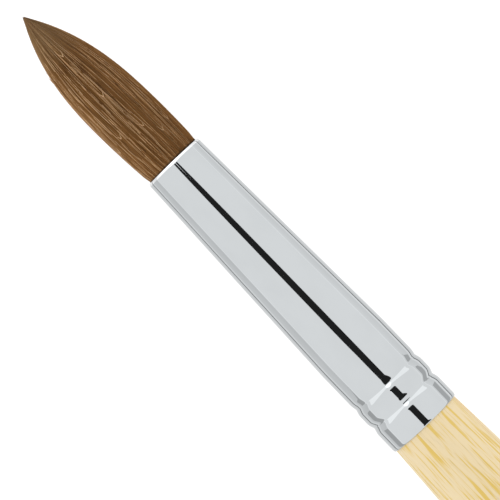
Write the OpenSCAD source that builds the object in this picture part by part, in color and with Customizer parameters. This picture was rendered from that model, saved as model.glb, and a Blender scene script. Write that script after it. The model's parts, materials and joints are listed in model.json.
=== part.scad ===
// Round artist's paint brush with a crimped metal ferrule.
//
// The brush lies along X with its hair towards +X. Its axis is level at the
// height of the thickest part of the handle, so that the handle just touches
// the surface z = 0. X = 0 is halfway along the brush. Along the axis, s is the
// distance from the mouth of the ferrule towards the handle, and h is the
// distance from the mouth towards the tip of the hair.

/* [Ferrule] */
// Length of the ferrule from its mouth to its rear edge
ferrule_len = 47.1; // [39:0.1:60]
// Outside diameter of the ferrule at its mouth
mouth_d = 8.8; // [7.2:0.1:10.6]
// Outside diameter of the straight land in front of the crimps
land_d = 10.8; // [9:0.1:14]
// Length of the straight land, which a guard tube slides on to
land_len = 5.2; // [3:0.1:8]
// Thickness of the sheet metal
wall = 0.25; // [0.2:0.01:0.4]
// Length over which each edge of the ferrule is rounded over
lip_len = 0.4; // [0.2:0.05:0.6]
// How far each rounded edge falls below the skin of the ferrule
lip_drop = 0.12; // [0.05:0.01:0.18]

/* [Crimps] */
// Distance from the rear edge of the ferrule to the rear crimp
collar_len = 4.05; // [2.5:0.05:6]
// Distance between the two crimps
crimp_pitch = 3.35; // [2.5:0.05:5]
// Length of the rounded shoulder on each side of a crimp
shoulder_len = 1.05; // [0.7:0.05:1.2]
// Depth of the front crimp below the land
front_crimp_depth = 0.14; // [0.05:0.01:0.3]
// Depth of the rear crimp below the land
rear_crimp_depth = 0.19; // [0.05:0.01:0.3]
// Rise of the bead between the crimps above the land
bead_rise = 0.09; // [0:0.01:0.3]
// Rise of the collar behind the crimps above the land
collar_rise = 0.04; // [0:0.01:0.3]

/* [Handle] */
// Length of the handle behind the ferrule
handle_len = 143; // [100:1:260]
// Step from the skin of the collar down to the wood
wood_step = 0.28; // [0.26:0.01:0.6]
// Diameter of the handle at its thickest point
grip_d = 12.8; // [11.5:0.1:18]
// Distance from the ferrule to the thickest point
grip_at = 36; // [20:1:60]
// Diameter of the handle where its rounded tail begins
tail_d = 5; // [3:0.1:8]
// Length of the rounded tail
tail_len = 3; // [2:0.1:6]
// Chamfer on the front end of the tenon
tenon_chamfer = 0.5; // [0.2:0.1:1]
// How long the handle stays full behind its thickest point
taper_hold = 1.7; // [1.2:0.1:2.5]
// How softly the taper runs out at the tail
taper_run = 1.15; // [1:0.05:1.6]

/* [Tuft] */
// Length of hair that stands out of the ferrule
hair_out = 27.3; // [22:0.1:36]
// How far the tuft swells beyond the bundle at the mouth, on the radius
hair_swell = 0.34; // [0:0.01:1]
// Distance from the mouth to the fullest part of the tuft
belly_at = 8.1; // [6:0.1:10]
// How bluntly the tuft closes to its point
point_power = 2.55; // [1.6:0.05:3.5]
// Set of the tuft to one side, in degrees
lean = 2.27; // [0:0.01:5]

/* [Flex of the tuft] */
// Distance from the mouth to the hinge at the base of the tuft
base_flex_at = 4; // [3:0.1:6]
// Travel of that hinge to each side, in degrees
base_flex_angle = 25; // [10:1:35]
// Distance from the mouth to the hinge of the pointed end
point_flex_at = 15; // [13:0.1:17]
// Travel of that hinge to each side, in degrees
point_flex_angle = 30; // [10:1:35]
// Gap between each dome and the hollow that turns on it
flex_gap = 0.1; // [0.05:0.01:0.3]
// Spare angle beyond the travel, in degrees
flex_spare = 2; // [1:0.5:5]
// Least thickness of hair left at the rim of each hollow
flex_rim = 0.2; // [0.1:0.05:0.2]

/* [Root of the hair] */
// Length of hair inside the ferrule
hair_in = 20; // [17:0.1:24]
// Diameter of the bundle where it is bound
root_d = 6.7; // [5:0.1:7]
// Distance from the mouth to where the bundle starts to draw in
gather_at = 9; // [6:0.1:10]
// Length over which the bundle draws in
gather_len = 4.5; // [3:0.1:5]
// Diameter of the binding thread
thread_d = 0.5; // [0.3:0.05:0.6]
// Number of turns of the thread
thread_turns = 6; // [3:1:8]
// Distance from where the bundle starts to draw in to the front of the resin
resin_start = 1.5; // [1:0.1:2.5]
// Thickness of the set resin behind the ends of the hair
resin_cap = 2.5; // [1:0.1:5]
// Empty length of ferrule between the resin and the handle
air_gap = 5.5; // [0.5:0.1:12]

/* [Fits] */
// Gap between the hair and the wall of the ferrule
hair_fit = 0.04; // [0.02:0.01:0.1]
// Gap round the thread and the resin
resin_fit = 0.03; // [0.02:0.01:0.06]
// Thickness of the glue film on the handle's tenon
glue_film = 0.12; // [0.08:0.01:0.2]
// Gap on each side of the glue film
glue_fit = 0.015; // [0.01:0.005:0.03]
// Bare length of tenon at each end of the glue film
glue_bare = 0.3; // [0.1:0.1:1]

/* [Hidden] */
$fn = 96;

mouth_r = mouth_d / 2;
land_r = land_d / 2;
bead_r = land_r + bead_rise;
collar_r = land_r + collar_rise;
grip_r = grip_d / 2;
tail_r = tail_d / 2;
root_r = root_d / 2;
thread_r = thread_d / 2;

rear_crimp_at = ferrule_len - collar_len;
front_crimp_at = rear_crimp_at - crimp_pitch;
cone_len = front_crimp_at - shoulder_len - land_len;
wood_r = collar_r - wood_step;
hair_mouth_r = mouth_r - wall - hair_fit;
hair_belly_r = hair_mouth_r + hair_swell;

// The leaning tuft joins the straight bundle at a neck that is a little
// narrower than both, from inside the mouth to just clear of its plane
neck_step = 0.15;
neck_clear = 0.1;
neck_sink = 0.6;
neck_r = hair_mouth_r - neck_step;
neck_out = neck_clear + hair_mouth_r * sin(lean);

hair_reach = hair_out * cos(lean);
mouth_x = (handle_len + ferrule_len - hair_reach) / 2;
axis_z = grip_r;

waist_at = gather_at + gather_len;
resin_back = hair_in + resin_cap;
tenon_at = resin_back + air_gap;
thread_pitch = thread_d + 2 * resin_fit;
thread_width = thread_pitch * thread_turns;
thread_at = (waist_at + hair_in - thread_width) / 2;
thread_sides = 8;
thread_steps = 30;

edge_steps = 6;
crimp_steps = 6;
curve_steps = 24;
dome_steps = 16;
seat_tries = 20;

base_cone = 90 - base_flex_angle - flex_spare;
point_cone = 90 - point_flex_angle - flex_spare;

// A smooth rise from 0 to 1
function ease(t) = (1 - cos(180 * t)) / 2;

// Radius of the ferrule's skin, before its edges are rounded over
function crest_r(s) = s < front_crimp_at ? land_r : s < rear_crimp_at ? bead_r : collar_r;
function valley_r(s) = land_r
    - (s < front_crimp_at + crimp_pitch / 2 ? front_crimp_depth : rear_crimp_depth);
function crimp_gap(s) = min(abs(s - front_crimp_at), abs(s - rear_crimp_at), shoulder_len);
function skin_r(s) = s < cone_len
    ? mouth_r + (land_r - mouth_r) * s / cone_len
    : valley_r(s) + (crest_r(s) - valley_r(s)) * sin(90 * crimp_gap(s) / shoulder_len);
function wall_in(s) = skin_r(s) - wall;

// How far the rounded edges fall below the skin
function edge_part(s) = max(0, 1 - min(s, ferrule_len - s) / lip_len);
function edge_fall(s) = lip_drop * (1 - sqrt(1 - pow(edge_part(s), 2)));

// Stations along the ferrule where its outline turns
lip_stations = [for (i = [0:edge_steps]) lip_len * (1 - cos(90 * i / edge_steps))];
crimp_stations = [for (at = [front_crimp_at, rear_crimp_at], i = [-crimp_steps:crimp_steps])
    at + shoulder_len * i / crimp_steps];
rear_stations = [for (i = [edge_steps:-1:0]) ferrule_len - lip_stations[i]];
skin_stations = concat(lip_stations, [cone_len], crimp_stations, rear_stations);

// Radius of the tenon inside the ferrule
function tenon_r(s) = wall_in(s) - glue_film - 2 * glue_fit;

// Radius of the hair bundle inside the ferrule
function bundle_r(s) = let (full = wall_in(s) - hair_fit)
    s <= gather_at ? full
    : s >= waist_at ? root_r
    : full + (root_r - full) * ease((s - gather_at) / gather_len);

// Radius of the tuft, h in front of the mouth
function tuft_r(h) = h < belly_at
    ? hair_belly_r - hair_swell * pow((belly_at - h) / belly_at, 2)
    : hair_belly_r * (1 - pow((h - belly_at) / (hair_out - belly_at), point_power));

// Where a cone from a hinge, at this angle off the axis, meets the tuft
function seat_h(at, angle, h, tries) = tries == 0 ? h
    : seat_h(at, angle, at + tuft_r(h) / tan(angle), tries - 1);

// Radius of a hinge's dome: as full as the tuft, unless the rim that is left
// beyond it, where the cone of this angle meets the tuft, would be too thin
function dome_r(at, angle) = let (h = seat_h(at, angle, at, seat_tries))
    min(tuft_r(at), (h - at) / cos(angle) - flex_gap - flex_rim);

// Outlines are [radius, height] pairs with the tip of the brush upwards
function tuft_line(from, to) = [for (i = [0:curve_steps])
    let (h = from + (to - from) * i / curve_steps) [max(0, tuft_r(h)), h]];
function dome_line(at, radius, from, to) = [for (i = [0:dome_steps])
    let (a = from + (to - from) * i / dome_steps) [radius * sin(a), at + radius * cos(a)]];

// Stands a shape, turned about Z, on the mouth of the ferrule
module on_axis() {
    translate([mouth_x, 0, axis_z]) rotate([0, 90, 0]) children();
}

// The same, leaning to +Y as the tuft does
module on_tuft() {
    translate([mouth_x, 0, axis_z]) rotate([0, 0, lean]) rotate([0, 90, 0]) children();
}

// Thread wound as a helix up the Z axis
module thread_helix(radius, pitch, turns) {
    rings = thread_steps * turns;
    points = [for (i = [0:rings], k = [0:thread_sides - 1])
        let (turn = 360 * i / thread_steps, around = 360 * k / thread_sides,
            reach = radius + thread_r * cos(around))
        [reach * cos(turn), reach * sin(turn), pitch * i / thread_steps + thread_r * sin(around)]];
    sides = [for (i = [0:rings - 1], k = [0:thread_sides - 1])
        let (next = (k + 1) % thread_sides, low = i * thread_sides, high = low + thread_sides)
        [low + k, high + k, high + next, low + next]];
    first_cap = [for (k = [0:thread_sides - 1]) k];
    last_cap = [for (k = [thread_sides - 1:-1:0]) rings * thread_sides + k];
    polyhedron(points, concat(sides, [first_cap, last_cap]));
}

// Turned wooden handle: tenon, swelling grip, long taper and rounded tail
module handle() {
    tenon = [for (s = skin_stations) if (s > tenon_at + tenon_chamfer) [tenon_r(s), -s]];
    front = [[0, -tenon_at], [tenon_r(tenon_at) - tenon_chamfer, -tenon_at],
        [tenon_r(tenon_at + tenon_chamfer), -tenon_at - tenon_chamfer]];
    swell = [for (i = [0:curve_steps]) let (t = i / curve_steps)
        [wood_r + (grip_r - wood_r) * sin(90 * t), -ferrule_len - grip_at * t]];
    taper_len = handle_len - grip_at - tail_len;
    taper = [for (i = [1:2 * curve_steps]) let (t = i / (2 * curve_steps))
        [tail_r + (grip_r - tail_r) * pow(1 - pow(t, taper_hold), taper_run),
            -ferrule_len - grip_at - taper_len * t]];
    tail = [for (i = [1:dome_steps]) let (a = 90 * i / dome_steps)
        [tail_r * cos(a), -ferrule_len - handle_len + tail_len * (1 - sin(a))]];
    color("wheat") on_axis() rotate_extrude() polygon(concat(front, tenon, swell, taper, tail));
}

// Film of glue that fills the gap between the tenon and the ferrule
module handle_glue() {
    from = tenon_at + tenon_chamfer + glue_bare;
    to = ferrule_len - lip_len - glue_bare;
    stations = concat([from], [for (s = skin_stations) if (s > from && s < to) s], [to]);
    outer = [for (s = stations) [wall_in(s) - glue_fit, -s]];
    inner = [for (i = [len(stations) - 1:-1:0]) [tenon_r(stations[i]) + glue_fit, -stations[i]]];
    color("khaki") on_axis() rotate_extrude() polygon(concat(outer, inner));
}

// Drawn sheet metal ferrule, crimped twice on to the tenon
module ferrule() {
    outer = [for (s = skin_stations) [skin_r(s) - edge_fall(s), -s]];
    inner = [for (i = [len(skin_stations) - 1:-1:0]) [wall_in(skin_stations[i]), -skin_stations[i]]];
    color("silver") on_axis() rotate_extrude() polygon(concat(outer, inner));
}

// Set resin round the bound roots and behind their ends
module root_resin() {
    from = gather_at + resin_start;
    outer_from = wall_in(from) - resin_fit;
    draw_in = [for (i = [0:curve_steps]) let (s = from + (waist_at - from) * i / curve_steps)
        [bundle_r(s) + resin_fit, -s]];
    pocket_r = root_r + 3 * resin_fit + thread_d;
    pocket_from = thread_at - resin_fit;
    pocket_to = thread_at + thread_width + thread_d + resin_fit;
    pocket = [[root_r + resin_fit, -pocket_from], [pocket_r, -pocket_from],
        [pocket_r, -pocket_to], [root_r + resin_fit, -pocket_to]];
    back = [[root_r + resin_fit, -hair_in - resin_fit], [0, -hair_in - resin_fit], [0, -resin_back],
        [wall_in(resin_back) - resin_fit, -resin_back], [outer_from, -from]];
    color("goldenrod") on_axis() rotate_extrude() polygon(concat(draw_in, pocket, back));
}

// Thread wound round the roots of the hair
module root_binding() {
    color("ivory") on_axis() translate([0, 0, -thread_at - thread_width - thread_r])
        thread_helix(root_r + resin_fit + thread_r, thread_pitch, thread_turns);
}

// Hair from its bound roots to the dome of the hinge at the base of the tuft
module hair_roots() {
    gather = [for (i = [curve_steps:-1:0]) let (s = gather_at + gather_len * i / curve_steps)
        [bundle_r(s), -s]];
    color("saddlebrown") {
        on_axis() rotate_extrude()
            polygon(concat([[0, -hair_in], [root_r, -hair_in]], gather, [[hair_mouth_r, 0], [0, 0]]));
        on_tuft() rotate_extrude()
            polygon(concat([[0, -neck_sink], [neck_r, -neck_sink], [neck_r, neck_out]],
                tuft_line(neck_out, base_flex_at),
                dome_line(base_flex_at, dome_r(base_flex_at, base_cone), 90, 0)));
    }
}

// Full middle of the tuft, hollowed to turn on the dome behind it
module hair_belly() {
    from = seat_h(base_flex_at, base_cone, base_flex_at, seat_tries);
    cup = dome_line(base_flex_at, dome_r(base_flex_at, base_cone) + flex_gap, 0, base_cone);
    dome = dome_line(point_flex_at, dome_r(point_flex_at, point_cone), 90, 0);
    color("sienna") on_tuft() rotate_extrude()
        polygon(concat(cup, tuft_line(from, point_flex_at), dome));
}

// Pointed end of the tuft, hollowed to turn on the dome of the belly
module hair_point() {
    from = seat_h(point_flex_at, point_cone, point_flex_at, seat_tries);
    cup = dome_line(point_flex_at, dome_r(point_flex_at, point_cone) + flex_gap, 0, point_cone);
    color("peru") on_tuft() rotate_extrude() polygon(concat(cup, tuft_line(from, hair_out)));
}

handle();
handle_glue();
ferrule();
root_resin();
root_binding();
hair_roots();
hair_belly();
hair_point();
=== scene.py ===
"""Looks of a round artist's paint brush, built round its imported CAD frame.

The brush lies along X with its hair towards +X, and its axis is level above
the floor at z = 0. Along the axis, s is the distance from the mouth of the
ferrule towards the handle, and h the distance from the mouth towards the tip.
"""

import json
import math

import bmesh
import bpy
import numpy as np
from bpy.props import (
    FloatProperty,
    FloatVectorProperty,
    IntProperty,
    PointerProperty,
)
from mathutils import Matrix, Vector


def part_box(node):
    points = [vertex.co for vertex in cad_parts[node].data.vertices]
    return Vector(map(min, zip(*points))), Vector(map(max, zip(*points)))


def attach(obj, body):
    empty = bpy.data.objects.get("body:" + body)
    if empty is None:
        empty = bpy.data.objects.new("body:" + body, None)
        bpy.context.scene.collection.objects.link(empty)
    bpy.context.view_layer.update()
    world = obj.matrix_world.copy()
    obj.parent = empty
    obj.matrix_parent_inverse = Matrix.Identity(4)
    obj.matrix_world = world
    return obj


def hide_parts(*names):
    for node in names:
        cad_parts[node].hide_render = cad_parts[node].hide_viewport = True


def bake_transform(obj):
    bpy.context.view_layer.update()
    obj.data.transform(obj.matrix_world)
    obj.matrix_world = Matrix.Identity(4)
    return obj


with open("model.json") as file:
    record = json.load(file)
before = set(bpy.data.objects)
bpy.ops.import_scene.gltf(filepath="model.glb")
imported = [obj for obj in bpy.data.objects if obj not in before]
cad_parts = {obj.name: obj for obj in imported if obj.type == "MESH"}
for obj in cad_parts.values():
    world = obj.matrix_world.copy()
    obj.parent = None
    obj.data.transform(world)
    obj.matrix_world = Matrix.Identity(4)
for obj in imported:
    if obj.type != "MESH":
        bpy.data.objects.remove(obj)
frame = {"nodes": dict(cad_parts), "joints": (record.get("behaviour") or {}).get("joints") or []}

bl_info = {
    "name": "Round Paint Brush",
    "version": (1, 0, 0),
    "blender": (4, 5, 0),
    "location": "View3D > Sidebar > Paint Brush",
    "description": "Builds a round artist's brush with a crimped ferrule",
    "category": "Object",
}

MM = 0.001
QUARTER_TURN = math.pi / 2
FULL_TURN = 2 * math.pi

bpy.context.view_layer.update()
FERRULE_LOW, FERRULE_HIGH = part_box("ferrule")
HANDLE_LOW, HANDLE_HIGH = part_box("handle")
FLEX_POINTS = {joint["name"]: Vector(joint["pos_m"]) for joint in frame["joints"]}

MOUTH = Vector((FERRULE_HIGH.x, 0.0, (FERRULE_LOW.z + FERRULE_HIGH.z) / 2))
TUFT_AXIS = (FLEX_POINTS["point_bend"] - FLEX_POINTS["tuft_bend"]).normalized()
LEAN = math.atan2(TUFT_AXIS.y, TUFT_AXIS.x)

SIDES = 3
RINGS = 13
STRAY_RINGS = 6
STRAY_SINK = 0.02 * MM
STRAY_THICKNESS = 0.062 * MM
# Place along the tuft in millimetres and turn from the top in degrees
STRAY_PLACES = ((19.5, 2.0), (12.1, 3.0), (5.8, -9.0), (3.6, -28.0))

# Side step across the floor in millimetres and the shade reflected there
FAR_SHADES = (
    (-400.0, 1.0),
    (-150.0, 0.96),
    (-75.0, 0.93),
    (-38.0, 0.90),
    (-20.0, 0.86),
    (0.0, 0.86),
    (20.0, 0.80),
    (40.0, 0.78),
    (75.0, 0.74),
    (150.0, 0.80),
    (250.0, 0.92),
    (400.0, 1.0),
)
# Name, side steps of the two long edges in millimetres, and shade
NEAR_STRIPS = (
    ("rim_strip", -13.3, 13.3, 0.84),
    ("dark_strip_right", -15.4, -13.3, 0.26),
    ("dark_strip_left", 13.3, 15.4, 0.30),
    ("pale_strip_right", -20.0, -15.4, 1.0),
    ("pale_strip_left", 15.4, 20.0, 0.93),
)
CORNER_CARDS = (
    ("corner_card_right", -75.0, -22.0, 0.55),
    ("corner_card_left", 28.0, 150.0, 0.5),
)
CORNER_REACH = 70.0
CORNER_END = 39.0


def length(name, description, millimetres):
    """A length that a user may change, given in millimetres."""
    return FloatProperty(
        name=name, description=description, default=millimetres * MM, precision=5, unit="LENGTH"
    )


def share(name, description, value):
    """A plain number that a user may change."""
    return FloatProperty(name=name, description=description, default=value, precision=4)


def count(name, description, value):
    """A whole number that a user may change."""
    return IntProperty(name=name, description=description, default=value, min=1)


def colour(name, description, value):
    """A colour that a user may change."""
    return FloatVectorProperty(
        name=name, description=description, default=value, subtype="COLOR", min=0.0, max=1.0
    )


class FerruleSizes(bpy.types.PropertyGroup):
    """Sizes and finish of the crimped metal ferrule."""

    mouth_diameter: length("Mouth diameter", "Outside diameter at the mouth", 8.8)
    land_diameter: length("Land diameter", "Outside diameter of the straight land", 10.8)
    land_length: length("Land length", "Length of the land in front of the crimps", 5.2)
    wall: length("Wall", "Thickness of the sheet metal", 0.25)
    lip_length: length("Lip length", "Length over which each edge is rounded over", 0.4)
    lip_drop: length("Lip drop", "How far each rounded edge falls", 0.12)
    collar_length: length("Collar length", "From the rear edge to the rear crimp", 4.05)
    crimp_pitch: length("Crimp pitch", "Distance between the two crimps", 3.35)
    shoulder_length: length("Shoulder length", "Rounded shoulder beside a crimp", 1.05)
    front_crimp_depth: length("Front crimp depth", "Depth of the front crimp", 0.14)
    rear_crimp_depth: length("Rear crimp depth", "Depth of the rear crimp", 0.19)
    crimp_fillet: length("Crimp fillet", "Softness at the bottom of a crimp", 0.05)
    bead_rise: length("Bead rise", "Rise of the bead between the crimps", 0.09)
    collar_rise: length("Collar rise", "Rise of the collar behind the crimps", 0.04)
    turn_steps: count("Turn steps", "Steps round the ferrule", 256)
    # The lip at the mouth gets a near-white colour: a painted highlight that stands in for the bright
    # reflection on the rounded edge.
    lip_highlight_length: length("Burnished", "Length of the burnished edge at the mouth", 0.36)
    lip_highlight_colour: colour("Burnished plate", "Colour of the burnished edge", (0.96, 0.97, 0.98))
    plate: colour("Plate", "Colour of the bright nickel plate", (0.645, 0.672, 0.686))


class HandleSizes(bpy.types.PropertyGroup):
    """Sizes and finish of the turned wooden handle."""

    wood_step: length("Wood step", "Step from the collar down to the wood", 0.28)
    tenon_clearance: length("Tenon clearance", "Room for glue round the tenon", 0.15)
    tenon_chamfer: length("Tenon chamfer", "Chamfer on the front of the tenon", 0.5)
    grip_diameter: length("Grip diameter", "Diameter at the thickest point", 12.8)
    grip_at: length("Grip place", "From the ferrule to the thickest point", 36.0)
    tail_diameter: length("Tail diameter", "Diameter where the tail begins", 5.0)
    tail_length: length("Tail length", "Length of the rounded tail", 3.0)
    taper_hold: share("Taper hold", "How long the handle stays full", 1.7)
    taper_run: share("Taper run", "How softly the taper runs out", 1.15)
    turn_steps: count("Turn steps", "Steps round the handle", 128)
    pale_wood: colour("Pale wood", "Colour of the pale early wood", (0.838, 0.680, 0.415))
    gold_wood: colour("Gold wood", "Colour of the yellow streaks", (0.760, 0.530, 0.120))
    warm_wood: colour("Warm wood", "Colour of the warm late wood", (0.740, 0.450, 0.130))


class TuftSizes(bpy.types.PropertyGroup):
    """Sizes and colours of the hair."""

    hair_out: length("Hair out", "Length of hair out of the ferrule", 27.3)
    hair_in: length("Hair in", "Length of hair inside the ferrule", 20.0)
    belly_radius: length("Belly radius", "Radius of the fullest part", 4.38)
    hair_swell: length("Hair swell", "Swell beyond the bundle at the mouth", 0.27)
    belly_at: length("Belly place", "From the mouth to the fullest part", 8.1)
    point_power: share("Point power", "How bluntly the tuft closes", 2.55)
    gather_at: length("Gather place", "Where the bundle starts to draw in", 9.0)
    gather_length: length("Gather length", "Length over which it draws in", 4.5)
    root_diameter: length("Root diameter", "Diameter of the bound roots", 6.7)
    split_at: length("Split place", "Where the two bending pieces meet", 9.5)
    strand_start: length("Strand start", "How far strands start in the ferrule", 1.5)
    mouth_gap: length("Mouth gap", "Gap between the hair and the mouth", 0.12)
    thin_strand: length("Thin strand", "Diameter of the thinnest strands", 0.07)
    thick_strand: length("Thick strand", "Diameter of the thickest strands", 0.12)
    core_share: share("Core share", "Radius of the packed core in the tuft", 0.9)
    strands: count("Strands", "Number of strands laid on the core", 2400)
    strays: count("Strays", "Number of pairs of short stray hairs", 14)
    pale_share: share("Pale share", "Share of the strands that are pale", 0.08)
    seed: count("Seed", "Seed of every random draw of the hair", 11)
    darkest: colour("Darkest hair", "Colour of the darkest strands", (0.0760, 0.0285, 0.0056))
    dark: colour("Dark hair", "Colour of the dark strands", (0.1500, 0.0620, 0.0125))
    brown: colour("Brown hair", "Colour of most strands", (0.2400, 0.1060, 0.0250))
    light: colour("Light hair", "Colour of the light strands", (0.3350, 0.1640, 0.0500))
    lightest: colour("Lightest hair", "Colour of the lightest strands", (0.7300, 0.4700, 0.2500))
    mouth_brown: colour("Mouth brown", "Even brown of the hair at the mouth", (0.222, 0.098, 0.0235))
    olive: colour("Olive tips", "Colour of the fine tips", (0.450, 0.290, 0.1350))


class StudioSizes(bpy.types.PropertyGroup):
    """Camera, lights and floor."""

    camera_foot_x: length("Camera foot X", "Point on the axis under the camera", 66.25)
    camera_foot_y: length("Camera foot Y", "Side step of that point", 0.79)
    camera_rise: length("Camera rise", "Height of the camera above the axis", 480.0)
    frame_width: length("Frame width", "Width of the view at the axis", 64.9)
    camera_roll: FloatProperty(
        name="Camera roll",
        description="Turn of the camera about the vertical",
        default=math.radians(226.12),
        unit="ROTATION",
        subtype="ANGLE",
    )
    sky_strength: share("Sky strength", "Strength of the even white surround", 1.0)
    floor_glow: share("Floor glow", "Light that the white floor gives off", 0.82)
    floor_size: length("Floor size", "Side of the square floor", 6000.0)
    card_rise: length("Card rise", "Height of the black card above the axis", 450.0)


# ---------------------------------------------------------------- shapes


def spread(start, end, steps):
    """Evenly spaced values from start to end, both included."""
    return [start + (end - start) * step / steps for step in range(steps + 1)]


def ease(part):
    """A smooth rise from 0 to 1."""
    return (1 - math.cos(math.pi * part)) / 2


def rear_crimp_at(sizes):
    """Place of the rear crimp, from the mouth."""
    return FERRULE_HIGH.x - FERRULE_LOW.x - sizes.collar_length


def front_crimp_at(sizes):
    """Place of the front crimp, from the mouth."""
    return rear_crimp_at(sizes) - sizes.crimp_pitch


def cone_length(sizes):
    """Length of the cone from the mouth to the straight land."""
    return front_crimp_at(sizes) - sizes.shoulder_length - sizes.land_length


def crimp_gap(sizes, s):
    """Distance to the nearest crimp, softened at its bottom and held at its shoulder."""
    gap = min(abs(s - front_crimp_at(sizes)), abs(s - rear_crimp_at(sizes)))
    soft = math.hypot(gap, sizes.crimp_fillet) - sizes.crimp_fillet
    return min(soft, sizes.shoulder_length)


def skin_radius(sizes, s):
    """Radius of the ferrule's skin before its edges are rounded over."""
    mouth_radius = sizes.mouth_diameter / 2
    land_radius = sizes.land_diameter / 2
    cone = cone_length(sizes)
    if s < cone:
        return mouth_radius + (land_radius - mouth_radius) * s / cone
    crest = land_radius
    valley = land_radius - sizes.front_crimp_depth
    if s > front_crimp_at(sizes):
        crest += sizes.bead_rise
    if s > front_crimp_at(sizes) + sizes.crimp_pitch / 2:
        valley = land_radius - sizes.rear_crimp_depth
    if s > rear_crimp_at(sizes):
        crest = land_radius + sizes.collar_rise
    part = crimp_gap(sizes, s) / sizes.shoulder_length
    return valley + (crest - valley) * math.sin(QUARTER_TURN * part)


def edge_fall(sizes, s):
    """How far the rounded edges fall below the skin."""
    ferrule_length = FERRULE_HIGH.x - FERRULE_LOW.x
    part = max(0.0, 1 - min(s, ferrule_length - s) / sizes.lip_length)
    return sizes.lip_drop * (1 - math.sqrt(max(0.0, 1 - part * part)))


def ferrule_stations(sizes):
    """Places along the ferrule at which its outline is drawn."""
    ferrule_length = FERRULE_HIGH.x - FERRULE_LOW.x
    lip = [sizes.lip_length * (1 - math.cos(part)) for part in spread(0, QUARTER_TURN, 12)]
    crimps_from = front_crimp_at(sizes) - sizes.shoulder_length
    crimps_to = rear_crimp_at(sizes) + sizes.shoulder_length
    cone = spread(sizes.lip_length, cone_length(sizes), 24)
    cone.insert(1, sizes.lip_length + 0.05 * MM)
    land = spread(cone_length(sizes), crimps_from, 5)
    crimps = spread(crimps_from, crimps_to, 84)
    collar = spread(crimps_to, ferrule_length - sizes.lip_length, 6)
    rear = [ferrule_length - place for place in reversed(lip)]
    return lip + cone[1:] + land[1:] + crimps[1:] + collar[1:] + rear[1:]


def turned_form(outline, steps, closed):
    """Spins an outline of (x, radius) pairs a full turn about the brush's axis."""
    form = bmesh.new()
    corners = [form.verts.new((x, 0.0, MOUTH.z + radius)) for x, radius in outline]
    ends = corners[1:] + corners[:1] if closed else corners[1:]
    edges = [form.edges.new(pair) for pair in zip(corners, ends)]
    bmesh.ops.spin(
        form,
        geom=corners + edges,
        cent=MOUTH,
        axis=(1.0, 0.0, 0.0),
        angle=FULL_TURN,
        steps=steps,
        use_merge=True,
    )
    bmesh.ops.remove_doubles(form, verts=form.verts, dist=1e-7)
    bmesh.ops.recalc_face_normals(form, faces=form.faces)
    return form


def piece_from(form, name, material):
    """Makes a smooth-shaded object of a bmesh and frees the bmesh."""
    mesh = bpy.data.meshes.new(name)
    form.to_mesh(mesh)
    form.free()
    mesh.shade_smooth()
    piece = bpy.data.objects.new(name, mesh)
    bpy.context.scene.collection.objects.link(piece)
    mesh.materials.append(material)
    return piece


def tuft_radius(sizes, h):
    """Radius of the tuft at h, for a number or an array."""
    fullness = np.clip((h - sizes.belly_at) / (sizes.hair_out - sizes.belly_at), 0, 1)
    point = sizes.belly_radius * (1 - fullness**sizes.point_power)
    base = sizes.belly_radius - sizes.hair_swell * ((sizes.belly_at - h) / sizes.belly_at) ** 2
    fining_length = 0.9 * MM
    fine = 1 - 0.3 * np.exp(-np.maximum(sizes.hair_out - h, 0) / fining_length)
    return fine * np.where(h < sizes.belly_at, base, point)


def bundle_radius(sizes, ferrule, s):
    """Radius of the hair bundle at s inside the ferrule."""
    root = sizes.root_diameter / 2
    bundle_gap = 0.06 * MM
    full = skin_radius(ferrule, s) - ferrule.wall - bundle_gap
    part = min(1.0, max(0.0, (s - sizes.gather_at) / sizes.gather_length))
    return full + (root - full) * ease(part)


def leaned(points):
    """Turns points of a straight tuft, in front of the mouth, on to its leaning axis."""
    offset = points - np.array(MOUTH)
    h = offset[..., 0]
    part = np.clip((h + 0.5 * MM) / (2.0 * MM), 0, 1)
    tilt = LEAN * part * part * (3 - 2 * part)
    along = np.maximum(h, 0)
    x = np.minimum(h, 0) + along * math.cos(LEAN) - offset[..., 1] * np.sin(tilt)
    y = along * math.sin(LEAN) + offset[..., 1] * np.cos(tilt)
    return np.stack([x, y, offset[..., 2]], -1) + np.array(MOUTH)


def vertex_places(mesh):
    """The places of a mesh's vertices, as an array of rows."""
    places = np.empty(len(mesh.vertices) * 3)
    mesh.vertices.foreach_get("co", places)
    return places.reshape(-1, 3)


def move_vertices(mesh, places):
    """Moves a mesh's vertices to the given places."""
    mesh.vertices.foreach_set("co", np.ascontiguousarray(places).ravel())
    mesh.update()


# ---------------------------------------------------------------- finishes


def new_material(name):
    """A node material with only its output and its main shader."""
    material = bpy.data.materials.new(name)
    material.use_nodes = True
    shader = material.node_tree.nodes["Principled BSDF"]
    return material, material.node_tree, shader


def add_ramp(tree, factor, stops):
    """Adds a colour ramp over a factor, from (place, colour) stops."""
    ramp = tree.nodes.new("ShaderNodeValToRGB")
    while len(ramp.color_ramp.elements) < len(stops):
        ramp.color_ramp.elements.new(0.5)
    for element, (place, shade) in zip(ramp.color_ramp.elements, stops):
        element.position = place
        element.color = (*shade, 1.0)
    tree.links.new(factor, ramp.inputs["Fac"])
    return ramp.outputs["Color"]


def object_axis(tree, axis):
    """One of the object coordinates, in metres."""
    coordinates = tree.nodes.new("ShaderNodeTexCoord")
    parts = tree.nodes.new("ShaderNodeSeparateXYZ")
    tree.links.new(coordinates.outputs["Object"], parts.inputs["Vector"])
    return parts.outputs[axis]


def grey(value):
    """A grey of one value."""
    return (value, value, value)


def pattern_place(tree, scale, shift=(0.0, 0.0, 0.0)):
    """Object coordinates, scaled and shifted for one pattern."""
    coordinates = tree.nodes.new("ShaderNodeTexCoord")
    mapping = tree.nodes.new("ShaderNodeMapping")
    mapping.inputs["Scale"].default_value = scale
    mapping.inputs["Location"].default_value = shift
    tree.links.new(coordinates.outputs["Object"], mapping.inputs["Vector"])
    return mapping.outputs["Vector"]


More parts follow.
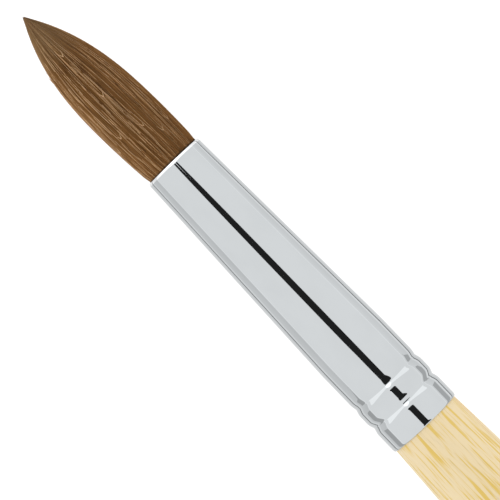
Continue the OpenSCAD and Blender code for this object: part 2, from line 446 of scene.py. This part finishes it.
def noise(tree, place, detail=2.0, distortion=0.0):
    """A noise pattern on a place, from 0 to 1."""
    node = tree.nodes.new("ShaderNodeTexNoise")
    node.inputs["Scale"].default_value = 1.0
    node.inputs["Detail"].default_value = detail
    node.inputs["Distortion"].default_value = distortion
    tree.links.new(place, node.inputs["Vector"])
    return node.outputs["Fac"]


def blended(tree, factor, first, second, mode="MIX"):
    """Two colours mixed by a factor, which is a socket or a number."""
    node = tree.nodes.new("ShaderNodeMix")
    node.data_type = "RGBA"
    node.blend_type = mode
    sockets = {socket.identifier: socket for socket in node.inputs}
    wanted = {"Factor_Float": factor, "A_Color": first, "B_Color": second}
    for identifier, value in wanted.items():
        if isinstance(value, bpy.types.NodeSocket):
            tree.links.new(value, sockets[identifier])
        elif identifier == "Factor_Float":
            sockets[identifier].default_value = value
        else:
            sockets[identifier].default_value = (*value, 1.0)
    return next(socket for socket in node.outputs if socket.identifier == "Result_Color")


def measured(tree, kind, first, second=0.0):
    """A math node over two values, each a socket or a number."""
    node = tree.nodes.new("ShaderNodeMath")
    node.operation = kind
    for socket, value in zip(node.inputs, (first, second)):
        if isinstance(value, bpy.types.NodeSocket):
            tree.links.new(value, socket)
        else:
            socket.default_value = value
    return node.outputs["Value"]


def add_bump(tree, shader, height, strength, distance):
    """Bump from a height pattern on a shader's normal."""
    bump = tree.nodes.new("ShaderNodeBump")
    bump.inputs["Strength"].default_value = strength
    bump.inputs["Distance"].default_value = distance
    tree.links.new(height, bump.inputs["Height"])
    tree.links.new(bump.outputs["Normal"], shader.inputs["Normal"])


def nickel_plate(sizes):
    """Bright nickel with faint drawing lines along it, soft handling marks and a painted highlight on
    the lip at the mouth.
    """
    material, tree, shader = new_material("bright_nickel_plate")
    shader.inputs["Metallic"].default_value = 1.0
    marks = noise(tree, pattern_place(tree, (180.0, 260.0, 260.0)), detail=4.0)
    plate = tuple(sizes.plate)
    worn = tuple(value * 0.97 for value in plate)
    shade = add_ramp(tree, marks, [(0.35, worn), (0.6, plate)])
    # Painted highlight: the rounded lip at the mouth is blended to a near-white colour.
    past = measured(tree, "SUBTRACT", object_axis(tree, "X"), MOUTH.x - sizes.lip_highlight_length)
    painted_lip_highlight = add_ramp(
        tree, measured(tree, "DIVIDE", past, sizes.lip_highlight_length), [(0.0, grey(0.0)), (0.15, grey(1.0))]
    )
    lipped = blended(tree, painted_lip_highlight, shade, tuple(sizes.lip_highlight_colour))
    tree.links.new(lipped, shader.inputs["Base Color"])
    drawn = noise(tree, pattern_place(tree, (60.0, 3500.0, 3500.0)), detail=3.0)
    mixed = measured(tree, "MULTIPLY", drawn, marks)
    rough = add_ramp(tree, mixed, [(0.1, grey(0.015)), (0.5, grey(0.032))])
    tree.links.new(rough, shader.inputs["Roughness"])
    return material


def turned_wood(sizes):
    """Pale wood with long yellow streaks, fine pores and a thin satin varnish."""
    material, tree, shader = new_material("pale_varnished_wood")
    pale, gold, warm = tuple(sizes.pale_wood), tuple(sizes.gold_wood), tuple(sizes.warm_wood)
    broad = noise(tree, pattern_place(tree, (14.0, 520.0, 520.0)), detail=3.0, distortion=0.3)
    streaks = noise(tree, pattern_place(tree, (36.0, 2600.0, 2600.0), shift=(3.0, 7.0, 1.0)), detail=4.0)
    pores = noise(tree, pattern_place(tree, (160.0, 5200.0, 5200.0)), detail=2.0)
    golden = blended(tree, add_ramp(tree, streaks, [(0.5, grey(0.0)), (0.62, grey(1.0))]), pale, gold)
    warmed = blended(tree, add_ramp(tree, broad, [(0.55, grey(0.0)), (0.7, grey(0.8))]), golden, warm)
    pored = add_ramp(tree, pores, [(0.2, grey(0.86)), (0.42, grey(1.0))])
    tree.links.new(blended(tree, 1.0, warmed, pored, "MULTIPLY"), shader.inputs["Base Color"])
    rough = add_ramp(tree, streaks, [(0.3, grey(0.38)), (0.7, grey(0.5))])
    tree.links.new(rough, shader.inputs["Roughness"])
    shader.inputs["Specular IOR Level"].default_value = 0.35
    shader.inputs["Coat Weight"].default_value = 0.12
    shader.inputs["Coat Roughness"].default_value = 0.25
    add_bump(tree, shader, pores, 0.25, 0.02 * MM)
    return material


def strand_map(tree):
    """Each strand's own tone and the share of the tuft's length, from the piece's map."""
    node = tree.nodes.new("ShaderNodeUVMap")
    node.uv_map = "Strands"
    parts = tree.nodes.new("ShaderNodeSeparateXYZ")
    tree.links.new(node.outputs["UV"], parts.inputs["Vector"])
    return node.outputs["UV"], parts.outputs["X"], parts.outputs["Y"]


def strand_hair(sizes):
    """Brown hair: a tone for each strand, drifting along it, with olive tips and painted shade where it
    goes into the mouth.
    """
    material, tree, shader = new_material("brown_hair_strands")
    place, tone, along = strand_map(tree)
    mapping = tree.nodes.new("ShaderNodeMapping")
    mapping.inputs["Scale"].default_value = (900.0, 16.0, 1.0)
    tree.links.new(place, mapping.inputs["Vector"])
    drift = noise(tree, mapping.outputs["Vector"], detail=2.0)
    shifted = measured(tree, "ADD", tone, measured(tree, "MULTIPLY", drift, 0.4))
    toned = measured(tree, "SUBTRACT", shifted, 0.2)
    shade = add_ramp(
        tree,
        toned,
        [
            (0.0, tuple(sizes.darkest)),
            (0.22, tuple(sizes.dark)),
            (0.5, tuple(sizes.brown)),
            (0.78, tuple(sizes.light)),
            (1.0, tuple(sizes.lightest)),
        ],
    )
    even = add_ramp(tree, along, [(0.0, grey(0.5)), (0.35, grey(0.0))])
    shade = blended(tree, even, shade, tuple(sizes.mouth_brown))
    tips = add_ramp(tree, along, [(0.68, grey(0.0)), (0.88, grey(0.45)), (1.0, grey(0.6))])
    shaded = blended(tree, tips, shade, tuple(sizes.olive))
    dark_point = add_ramp(tree, along, [(0.98, grey(0.0)), (1.0, grey(0.8))])
    pointed = blended(tree, dark_point, shaded, (0.02, 0.012, 0.008))
    # Painted shade: the hair is darkened where it goes under the lip of the ferrule, standing in for the
    # shade in the gap there.
    mouth_nearness = measured(tree, "MULTIPLY", along, 20.0)
    painted_mouth_shade = add_ramp(tree, mouth_nearness, [(0.06, grey(0.25)), (0.2, grey(1.0))])
    pointed = blended(tree, 1.0, pointed, painted_mouth_shade, "MULTIPLY")
    tree.links.new(pointed, shader.inputs["Base Color"])
    rough = add_ramp(tree, drift, [(0.3, grey(0.42)), (0.7, grey(0.6))])
    tree.links.new(rough, shader.inputs["Roughness"])
    shader.inputs["Specular IOR Level"].default_value = 0.15
    return material


def packed_hair(sizes):
    """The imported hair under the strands: dark brown with long fine streaks."""
    material, tree, shader = new_material("packed_brown_hair")
    fine = noise(tree, pattern_place(tree, (70.0, 6500.0, 6500.0)), detail=3.0)
    broad = noise(tree, pattern_place(tree, (40.0, 1800.0, 1800.0)), detail=2.0)
    both = measured(tree, "MULTIPLY", measured(tree, "ADD", fine, broad), 0.5)
    shade = add_ramp(
        tree,
        both,
        [(0.35, tuple(sizes.darkest)), (0.5, tuple(sizes.dark)), (0.65, tuple(sizes.brown))],
    )
    tree.links.new(shade, shader.inputs["Base Color"])
    rough = add_ramp(tree, fine, [(0.3, grey(0.5)), (0.7, grey(0.7))])
    tree.links.new(rough, shader.inputs["Roughness"])
    shader.inputs["Specular IOR Level"].default_value = 0.3
    add_bump(tree, shader, fine, 0.6, 0.05 * MM)
    return material


def hidden_finish(name, scale, low, high, rough, coat=0.0):
    """A plain mottled finish for a part that is hidden inside the ferrule."""
    material, tree, shader = new_material(name)
    mottle = noise(tree, pattern_place(tree, scale), detail=4.0)
    tree.links.new(add_ramp(tree, mottle, [(0.35, low), (0.65, high)]), shader.inputs["Base Color"])
    roughness = add_ramp(tree, mottle, [(0.3, grey(rough)), (0.7, grey(rough + 0.15))])
    tree.links.new(roughness, shader.inputs["Roughness"])
    shader.inputs["Coat Weight"].default_value = coat
    add_bump(tree, shader, mottle, 0.3, 0.03 * MM)
    return material


# ---------------------------------------------------------------- pieces


class PAINTBRUSH_OT_make_ferrule(bpy.types.Operator):
    """Spin the crimped nickel ferrule, with its wall and rounded edges"""

    bl_idname = "paintbrush.make_ferrule"
    bl_label = "Make Ferrule"

    def execute(self, context):
        sizes = context.scene.paintbrush_ferrule
        places = ferrule_stations(sizes)
        outer = [(MOUTH.x - s, skin_radius(sizes, s) - edge_fall(sizes, s)) for s in places]
        inner = [(MOUTH.x - s, skin_radius(sizes, s) - sizes.wall) for s in reversed(places)]
        form = turned_form(outer + inner, sizes.turn_steps, closed=True)
        piece = piece_from(form, "ferrule_shell", nickel_plate(sizes))
        piece.data.set_sharp_from_angle(angle=math.radians(50))
        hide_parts("ferrule")
        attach(piece, "brush")
        return {"FINISHED"}


class PAINTBRUSH_OT_make_handle(bpy.types.Operator):
    """Spin the wooden handle: tenon, swelling grip, long taper and round tail"""

    bl_idname = "paintbrush.make_handle"
    bl_label = "Make Handle"

    def execute(self, context):
        ferrule = context.scene.paintbrush_ferrule
        sizes = context.scene.paintbrush_handle
        grip_radius = sizes.grip_diameter / 2
        tail_radius = sizes.tail_diameter / 2
        wood_radius = ferrule.land_diameter / 2 + ferrule.collar_rise - sizes.wood_step
        tenon_at = MOUTH.x - HANDLE_HIGH.x
        room = ferrule.wall + sizes.tenon_clearance

        outline = [(HANDLE_HIGH.x, 0.0)]
        front = skin_radius(ferrule, tenon_at) - room - sizes.tenon_chamfer
        outline.append((HANDLE_HIGH.x, front))
        for s in spread(tenon_at + sizes.tenon_chamfer, MOUTH.x - FERRULE_LOW.x, 60):
            outline.append((MOUTH.x - s, skin_radius(ferrule, s) - room))
        for part in spread(0, 1, 48):
            radius = wood_radius + (grip_radius - wood_radius) * math.sin(QUARTER_TURN * part)
            outline.append((FERRULE_LOW.x - sizes.grip_at * part, radius))
        grip_x = FERRULE_LOW.x - sizes.grip_at
        taper_length = grip_x - HANDLE_LOW.x - sizes.tail_length
        for part in spread(0, 1, 96)[1:]:
            fall = (1 - part**sizes.taper_hold) ** sizes.taper_run
            radius = tail_radius + (grip_radius - tail_radius) * fall
            outline.append((grip_x - taper_length * part, radius))
        for turn in spread(0, QUARTER_TURN, 16)[1:]:
            x = HANDLE_LOW.x + sizes.tail_length * (1 - math.sin(turn))
            outline.append((x, tail_radius * max(0.0, math.cos(turn))))

        form = turned_form(outline, sizes.turn_steps, closed=False)
        piece = piece_from(form, "handle_turned", turned_wood(sizes))
        piece.data.set_sharp_from_angle(angle=math.radians(40))
        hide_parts("handle")
        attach(piece, "brush")
        return {"FINISHED"}


class PAINTBRUSH_OT_finish_roots(bpy.types.Operator):
    """Give the glue, resin and binding thread inside the ferrule their finishes"""

    bl_idname = "paintbrush.finish_roots"
    bl_label = "Finish Roots"

    def execute(self, context):
        finishes = {
            "handle_glue": hidden_finish(
                "set_handle_glue", (900.0, 900.0, 900.0),
                (0.50, 0.36, 0.16), (0.66, 0.52, 0.28), 0.2, coat=0.4,
            ),
            "root_resin": hidden_finish(
                "set_root_resin", (500.0, 500.0, 500.0),
                (0.28, 0.12, 0.025), (0.46, 0.24, 0.06), 0.12, coat=0.6,
            ),
            "root_binding": hidden_finish(
                "waxed_binding_thread", (5000.0, 2500.0, 2500.0),
                (0.58, 0.52, 0.40), (0.80, 0.75, 0.62), 0.6,
            ),
        }
        for node, material in finishes.items():
            mesh = frame["nodes"][node].data
            mesh.materials.clear()
            mesh.materials.append(material)
        return {"FINISHED"}


class PAINTBRUSH_OT_make_core(bpy.types.Operator):
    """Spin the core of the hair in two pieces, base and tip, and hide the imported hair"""

    bl_idname = "paintbrush.make_core"
    bl_label = "Make Hair Core"

    def execute(self, context):
        ferrule = context.scene.paintbrush_ferrule
        sizes = context.scene.paintbrush_tuft
        material = packed_hair(sizes)
        base = [(MOUTH.x - sizes.hair_in, 0.0)]
        for s in spread(sizes.hair_in, 2 * MM, 36):
            base.append((MOUTH.x - s, bundle_radius(sizes, ferrule, s)))
        for h in spread(-1 * MM, sizes.split_at, 30):
            base.append((MOUTH.x + h, sizes.core_share * float(tuft_radius(sizes, h))))
        base.append((MOUTH.x + sizes.split_at, 0.0))
        tip_end = sizes.hair_out - 0.3 * MM
        tip = [(MOUTH.x + sizes.split_at, 0.0)]
        for h in spread(sizes.split_at, tip_end, 60):
            tip.append((MOUTH.x + h, sizes.core_share * float(tuft_radius(sizes, h))))
        tip.append((MOUTH.x + tip_end, 0.0))
        for name, outline in (("tuft_core_base", base), ("tuft_core_tip", tip)):
            form = turned_form(outline, 96, closed=False)
            piece = piece_from(form, name, material)
            move_vertices(piece.data, leaned(vertex_places(piece.data)))
            bend_with_tuft(piece, sizes)
        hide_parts("hair_roots", "hair_belly")
        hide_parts("hair_point")
        return {"FINISHED"}


def bend_with_tuft(piece, sizes):
    """Bakes a piece's transform into its mesh, the same way for base and tip pieces; it does not bend
    them.
    """
    if piece.name.endswith("base"):
        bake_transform(piece)
    else:
        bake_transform(piece)


def strand_template(rings):
    """A straight strand along Z, one unit long, with closed ends."""
    form = bmesh.new()
    bmesh.ops.create_cone(
        form, cap_ends=True, segments=SIDES, radius1=1.0, radius2=1.0, depth=1.0
    )
    sides = [edge for edge in form.edges if abs(edge.verts[0].co.z - edge.verts[1].co.z) > 0.5]
    bmesh.ops.subdivide_edges(form, edges=sides, cuts=rings - 2)
    for edge in form.edges:
        if abs(edge.verts[0].co.z) > 0.49 and abs(edge.verts[1].co.z) > 0.49:
            edge.smooth = False
    bmesh.ops.recalc_face_normals(form, faces=form.faces)
    mesh = bpy.data.meshes.new("strand_template")
    form.to_mesh(mesh)
    form.free()
    return mesh


def corner_places(template):
    """Where each face corner of the template lies in a strand's cell of the bake map."""
    places = np.zeros((len(template.loops), 2))
    for face in template.polygons:
        middle = math.atan2(face.center.y, face.center.x) % FULL_TURN
        flat_end = abs(face.normal.z) > 0.5
        for corner in face.loop_indices:
            point = template.vertices[template.loops[corner].vertex_index].co
            turn = math.atan2(point.y, point.x) % FULL_TURN
            if flat_end:
                edge = 0.02 if point.z < 0 else 0.98
                places[corner] = (0.5 + 0.4 * point.x, edge + 0.015 * point.y)
                continue
            if turn - middle > math.pi:
                turn -= FULL_TURN
            if middle - turn > math.pi:
                turn += FULL_TURN
            places[corner] = (0.05 + 0.9 * turn / FULL_TURN, 0.5 + 0.88 * point.z)
    return places


class Strands:
    """The random facts of every strand, drawn once so that both pieces agree."""

    def __init__(self, sizes):
        draw = np.random.default_rng(sizes.seed)
        number = sizes.strands
        self.turn = FULL_TURN * (np.arange(number) + draw.uniform(-0.5, 0.5, number)) / number
        draw.shuffle(self.turn)
        self.depth = 1 - 0.09 * draw.uniform(0, 1, number) ** 1.1
        self.sway = draw.uniform(0.004, 0.024, number)
        self.sway_length = draw.uniform(10, 24, number) * MM
        self.sway_start = draw.uniform(0, FULL_TURN, number)
        self.dive = draw.uniform(0.0, 0.02, number)
        self.dive_length = draw.uniform(5, 14, number) * MM
        self.dive_start = draw.uniform(0, FULL_TURN, number)
        self.radius = draw.uniform(sizes.thin_strand, sizes.thick_strand, number) / 2
        late = draw.uniform(0, 1, number) ** 0.6
        ends_over = 13 * MM
        short_of_point = 0.05 * MM
        self.end = sizes.hair_out - (1 - late) * ends_over - short_of_point
        own = draw.uniform(0, 1, number)
        clump = np.sin(9 * self.turn + 2 * np.sin(5 * self.turn))
        # Strands on the two sides of the tuft, as seen from above, get a lighter tone: painted light for
        # the brighter edges of the tuft.
        edge = np.abs(np.sin(self.turn)) ** 3
        self.tone = np.clip(0.11 + 0.5 * own + 0.05 * clump + 0.22 * edge, 0, 1)
        pale = draw.uniform(0, 1, number) < sizes.pale_share
        pales = int(pale.sum())
        self.tone[pale] = draw.uniform(0.88, 1.0, pales)
        self.radius[pale] = 0.55 * sizes.thin_strand
        self.depth[pale] = 1 - 0.02 * draw.uniform(0, 1, pales)

    def course(self, h):
        """Turn and depth of every strand at the places h, an array of strands by rings."""
        sway = self.sway[:, None] * np.sin(
            FULL_TURN * h / self.sway_length[:, None] + self.sway_start[:, None]
        )
        turn = self.turn[:, None] + sway
        pull = 0.008 * np.sin(31 * turn + 260 * h) + 0.012 * np.sin(13 * turn - 190 * h)
        dive = self.dive[:, None] * np.sin(
            FULL_TURN * h / self.dive_length[:, None] + self.dive_start[:, None]
        )
        depth = np.minimum(self.depth[:, None] + dive, 0.995)
        return turn + pull, depth


def lay_tubes(name, sizes, rings, course, tone, material):
    """Copies a plain strand for each row of a course and lays it ring by ring.

    The course holds four arrays of strands by rings: the place h along the
    tuft, the turn about its axis, the reach from that axis and the thickness.
    """
    template = strand_template(rings)
    form = bmesh.new()
    for _ in tone:
        form.from_mesh(template)
    piece = piece_from(form, name, material)
    mesh = piece.data

    straight = vertex_places(template)
    ring = np.rint((straight[:, 2] + 0.5) * (rings - 1)).astype(int)
    around = np.arctan2(straight[:, 1], straight[:, 0])
    h, turn, reach, thick = (values[:, ring] for values in course)
    out = reach + thick * np.cos(around)
    side = thick * np.sin(around)
    y = out * np.sin(turn) - side * np.cos(turn)
    z = out * np.cos(turn) + side * np.sin(turn)
    places = np.stack([h, y, z], -1) + np.array(MOUTH)
    move_vertices(mesh, leaned(places).reshape(-1, 3))

    number = len(tone)
    corners = len(template.loops)
    vertex = np.empty(corners, np.int32)
    template.loops.foreach_get("vertex_index", vertex)
    strand_uv = np.empty((number, corners, 2), np.float32)
    strand_uv[:, :, 0] = tone[:, None]
    strand_uv[:, :, 1] = (h / sizes.hair_out)[:, vertex]
    columns = math.ceil(math.sqrt(number * 6))
    rows = math.ceil(number / columns)
    cell = np.arange(number)
    bake_uv = np.empty((number, corners, 2), np.float32)
    inside = corner_places(template)
    bake_uv[:, :, 0] = (cell[:, None] % columns + inside[None, :, 0]) / columns
    bake_uv[:, :, 1] = (cell[:, None] // columns + inside[None, :, 1]) / rows
    for map_name, values in (("Strands", strand_uv), ("OFBake", bake_uv)):
        layer = mesh.uv_layers.new(name=map_name, do_init=False)
        layer.uv.foreach_set("vector", values.ravel())
    bpy.data.meshes.remove(template)
    return piece


def lay_strands(name, sizes, strands, start, end, material):
    """Lays the strands along the skin of the tuft, from start to end or to their own tips."""
    last = np.minimum(strands.end, end) if end else strands.end
    part = np.linspace(0, 1, RINGS)
    h = start + (last - start)[:, None] * part[None, :]
    turn, depth = strands.course(h)
    skin = tuft_radius(sizes, h) - sizes.mouth_gap * np.exp(-((h / (0.5 * MM)) ** 2))
    fineness = np.clip(skin / sizes.belly_radius, 0, 1) ** 0.6
    left = np.clip((strands.end[:, None] - h) / (5 * MM), 0, 1)
    full = strands.radius[:, None] * fineness
    thick = full * (0.12 + 0.88 * left**0.7)
    course = (h, turn, depth * skin - full, thick)
    return lay_tubes(name, sizes, RINGS, course, strands.tone, material)


class PAINTBRUSH_OT_make_strands(bpy.types.Operator):
    """Lay the strands of hair over the core in two pieces, base and tip"""

    bl_idname = "paintbrush.make_strands"
    bl_label = "Make Hair Strands"

    def execute(self, context):
        sizes = context.scene.paintbrush_tuft
        material = strand_hair(sizes)
        strands = Strands(sizes)
        split = sizes.split_at
        start = -sizes.strand_start
        base = lay_strands("tuft_strands_base", sizes, strands, start, split, material)
        tip = lay_strands("tuft_strands_tip", sizes, strands, split, None, material)
        for piece in (base, tip):
            bend_with_tuft(piece, sizes)
        return {"FINISHED"}


class PAINTBRUSH_OT_make_strays(bpy.types.Operator):
    """Set a few short pale hairs that stand a little off the tuft, in pairs"""

    bl_idname = "paintbrush.make_strays"
    bl_label = "Make Stray Hairs"

    def execute(self, context):
        sizes = context.scene.paintbrush_tuft
        material = bpy.data.materials["brown_hair_strands"]
        draw = np.random.default_rng(sizes.seed + 1)
        shown = np.array(STRAY_PLACES)
        others = sizes.strays - len(shown)
        place = np.concatenate([shown[:, 0] * MM, draw.uniform(2, 21, others) * MM])
        turn = np.concatenate([np.radians(shown[:, 1]), draw.uniform(0.6, 5.7, others)])
        place = np.repeat(place, 2)
        turn = np.repeat(turn, 2)
        number = len(place)
        span = draw.uniform(0.5, 1.1, number) * MM
        veer = np.tile([-1.0, 1.0], number // 2) * draw.uniform(0.2, 0.6, number)
        lift = draw.uniform(0.06, 0.2, number) * MM
        for name, wanted in (
            ("tuft_strays_base", place < sizes.split_at),
            ("tuft_strays_tip", place >= sizes.split_at),
        ):
            part = np.linspace(0, 1, STRAY_RINGS)[None, :]
            h = place[wanted, None] + span[wanted, None] * part
            skin = tuft_radius(sizes, h)
            swing = veer[wanted, None] * span[wanted, None] * part / skin
            reach = skin + lift[wanted, None] * part**1.5 - STRAY_SINK
            thick = STRAY_THICKNESS * (1.1 - part) * np.ones_like(h)
            course = (h, turn[wanted, None] + swing, reach, thick)
            tone = np.full(int(wanted.sum()), 1.3)
            piece = lay_tubes(name, sizes, STRAY_RINGS, course, tone, material)
            bend_with_tuft(piece, sizes)
        return {"FINISHED"}


def glow_material(name, strength):
    """A plain material that gives off white light of one strength."""
    material = bpy.data.materials.new(name)
    material.use_nodes = True
    tree = material.node_tree
    tree.nodes.clear()
    output = tree.nodes.new("ShaderNodeOutputMaterial")
    light = tree.nodes.new("ShaderNodeEmission")
    light.inputs["Strength"].default_value = strength
    tree.links.new(light.outputs["Emission"], output.inputs["Surface"])
    return material


def reflected_only(card):
    """A studio card that shows only in reflections."""
    card.visible_camera = False
    card.visible_diffuse = False
    card.visible_transmission = False
    card.visible_shadow = False
    card.visible_volume_scatter = False


def flat_card(name, strength, steps):
    """A level card with a row of paired points, to be drawn in to its outline."""
    form = bmesh.new()
    bmesh.ops.create_grid(form, x_segments=steps, y_segments=1, size=0.5)
    card = piece_from(form, name, glow_material(name, strength))
    reflected_only(card)
    return card


def floor_card(name, y_from, y_to, reach, rise, strength, x_middle=0.0):
    """A card on the floor along the brush, which shades its metal in reflections."""
    card = flat_card(name, strength, 1)
    places = vertex_places(card.data)
    middle = (y_from + y_to) / 2
    places[:, 0] = places[:, 0] * 2 * reach + x_middle
    places[:, 1] = (middle + (y_to - y_from) * places[:, 1]) * MM
    places[:, 2] = rise
    move_vertices(card.data, places)
    return card


def edge_cards():
    """Cards on the floor that draw the soft bands along the low edges of the metal."""
    reach = FAR_SHADES[-1][0]
    card = floor_card("far_card", -reach, reach, reach * MM, 0.04 * MM, 1.0)
    tree = card.data.materials[0].node_tree
    scaled = measured(tree, "DIVIDE", object_axis(tree, "Y"), 2 * reach * MM)
    factor = measured(tree, "ADD", scaled, 0.5)
    stops = [(place / (2 * reach) + 0.5, grey(shade)) for place, shade in FAR_SHADES]
    shade = add_ramp(tree, factor, stops)
    tree.links.new(shade, tree.nodes["Emission"].inputs["Color"])
    for name, y_from, y_to, strength in NEAR_STRIPS:
        floor_card(name, y_from, y_to, reach * MM, 0.08 * MM, strength)
    for name, y_from, y_to, strength in CORNER_CARDS:
        middle_x = (CORNER_END - CORNER_REACH) * MM
        floor_card(name, y_from, y_to, CORNER_REACH * MM, 0.06 * MM, strength, middle_x)


def draw_in(card, x, half, rise):
    """Draws a card in to half its breadth at each x, all in millimetres, along its middle line."""
    places = vertex_places(card.data)
    middle = -27.0 + (x - 6.0) * 17.0 / 114.0
    places[:, 1] = (middle + half * 2 * places[:, 1]) * MM
    places[:, 0] = x * MM
    places[:, 2] = MOUTH.z + rise
    move_vertices(card.data, places)


def black_card(rise):
    """The long black card overhead, with a blunt nose, that draws the dark line."""
    card = flat_card("black_card", 0.02, 160)
    nose, back, narrows_from = 126.0, -300.0, 65.0
    x = nose - (nose - back) * (0.5 - vertex_places(card.data)[:, 0]) ** 2
    toward = np.clip((x - narrows_from) / (nose - narrows_from), 0, 1)
    breadth = 71.0 + 7.0 * np.clip((x - 10.0) / 60.0, 0, 1)
    breadth += 50.0 * np.clip((-20.0 - x) / 180.0, 0, 1)
    draw_in(card, x, breadth * (1 - toward**3) ** 0.24, rise)


def card_window(rise):
    """The white slot in the black card's nose, that opens the start of the dark line."""
    card = flat_card("card_window", 1.0, 24)
    start, window_length = 113.0, 11.8
    x = start + window_length * (vertex_places(card.data)[:, 0] + 0.5)
    draw_in(card, x, 21.0 * ((x - start) / window_length) ** 3, rise)


def oval_card(name, near_x, half_length, half_width, rise, strength):
    """A level oval card whose nearest end is at near_x."""
    form = bmesh.new()
    bmesh.ops.create_circle(form, cap_ends=True, segments=96, radius=1.0)
    bmesh.ops.scale(form, vec=(half_length * MM, half_width * MM, 1.0), verts=form.verts)
    middle = Vector(((near_x + half_length) * MM, 0.0, MOUTH.z + rise * MM))
    bmesh.ops.translate(form, vec=middle, verts=form.verts)
    card = piece_from(form, name, glow_material(name, strength))
    reflected_only(card)


class PAINTBRUSH_OT_make_studio(bpy.types.Operator):
    """Set up the white floor, the even light, the black card and the camera"""

    bl_idname = "paintbrush.make_studio"
    bl_label = "Make Studio"

    def execute(self, context):
        scene = context.scene
        sizes = scene.paintbrush_studio
        scene.view_settings.view_transform = "Standard"
        scene.view_settings.look = "None"

        world = bpy.data.worlds.new("white_surround")
        world.use_nodes = True
        surround = world.node_tree.nodes["Background"]
        surround.inputs["Color"].default_value = (1.0, 1.0, 1.0, 1.0)
        surround.inputs["Strength"].default_value = sizes.sky_strength
        scene.world = world

        floor_material, tree, shader = new_material("white_floor")
        shader.inputs["Base Color"].default_value = (0.36, 0.36, 0.36, 1.0)
        shader.inputs["Roughness"].default_value = 0.9
        shader.inputs["Specular IOR Level"].default_value = 0.0
        shader.inputs["Emission Color"].default_value = (1.0, 1.0, 1.0, 1.0)
        shader.inputs["Emission Strength"].default_value = sizes.floor_glow
        form = bmesh.new()
        bmesh.ops.create_grid(form, x_segments=1, y_segments=1, size=sizes.floor_size / 2)
        floor = piece_from(form, "studio_floor", floor_material)

        black_card(sizes.card_rise)
        card_window(sizes.card_rise - 2 * MM)
        oval_card("crimp_light", 300.0, 600.0, 2500.0, 458.0, 1.25)
        oval_card("crimp_spark", 255.0, 300.0, 130.0, 455.0, 1.6)
        oval_card("lip_light", 88.0, 90.0, 50.0, 60.0, 1.6)
        edge_cards()

        camera_data = bpy.data.cameras.new("camera")
        camera = bpy.data.objects.new("camera", camera_data)
        scene.collection.objects.link(camera)
        foot = Vector((sizes.camera_foot_x, sizes.camera_foot_y, MOUTH.z))
        camera.location = foot + Vector((0.0, 0.0, sizes.camera_rise))
        camera.rotation_euler = (0.0, 0.0, sizes.camera_roll)
        camera_data.sensor_width = 36.0
        camera_data.lens = 36.0 * sizes.camera_rise / sizes.frame_width
        camera_data.clip_start = 0.01
        camera_data.clip_end = 50.0
        scene.camera = camera
        return {"FINISHED"}


class PAINTBRUSH_PT_panel(bpy.types.Panel):
    """Lists the steps that build the brush"""

    bl_idname = "PAINTBRUSH_PT_panel"
    bl_label = "Round Paint Brush"
    bl_space_type = "VIEW_3D"
    bl_region_type = "UI"
    bl_category = "Paint Brush"

    def draw(self, context):
        for step in STEPS:
            self.layout.operator(step.bl_idname)


SETTINGS = {
    "paintbrush_ferrule": FerruleSizes,
    "paintbrush_handle": HandleSizes,
    "paintbrush_tuft": TuftSizes,
    "paintbrush_studio": StudioSizes,
}
STEPS = (
    PAINTBRUSH_OT_make_ferrule,
    PAINTBRUSH_OT_make_handle,
    PAINTBRUSH_OT_finish_roots,
    PAINTBRUSH_OT_make_core,
    PAINTBRUSH_OT_make_strands,
    PAINTBRUSH_OT_make_strays,
    PAINTBRUSH_OT_make_studio,
)


def register():
    for kind in (*SETTINGS.values(), *STEPS, PAINTBRUSH_PT_panel):
        bpy.utils.register_class(kind)
    for name, kind in SETTINGS.items():
        setattr(bpy.types.Scene, name, PointerProperty(type=kind))


def unregister():
    for name in SETTINGS:
        delattr(bpy.types.Scene, name)
    for kind in reversed((*SETTINGS.values(), *STEPS, PAINTBRUSH_PT_panel)):
        bpy.utils.unregister_class(kind)


def main():
    """Builds every piece and the studio."""
    register()
    bpy.ops.paintbrush.make_ferrule()
    bpy.ops.paintbrush.make_handle()
    bpy.ops.paintbrush.finish_roots()
    bpy.ops.paintbrush.make_core()
    bpy.ops.paintbrush.make_strands()
    bpy.ops.paintbrush.make_strays()
    bpy.ops.paintbrush.make_studio()


if __name__ == "__main__":
    main()
